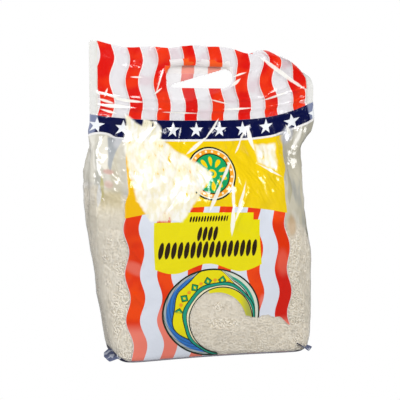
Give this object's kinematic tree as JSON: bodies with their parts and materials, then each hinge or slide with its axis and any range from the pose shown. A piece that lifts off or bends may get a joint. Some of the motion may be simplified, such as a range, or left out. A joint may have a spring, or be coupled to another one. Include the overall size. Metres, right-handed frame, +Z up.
{
  "type": "rice sack",
  "caption": "Clear film rice sack, filled and standing, with a flat header that has a hand hole, a printed front and back, and a band of stars.",
  "frame": {"origin": "on the floor under the middle of the bag, on the flat face that it rests on", "axes": "+Z up along the height of the bag, -Y out of the printed front, +X to the right as seen from the front"},
  "size_m": [0.3007, 0.1098, 0.3895],
  "materials": {
    "film": "glossy clear film with flexo print",
    "rice": "dry parboiled long grain rice"
  },
  "bodies": {
    "root": {"bag": "film"}
  },
  "joints": []
}
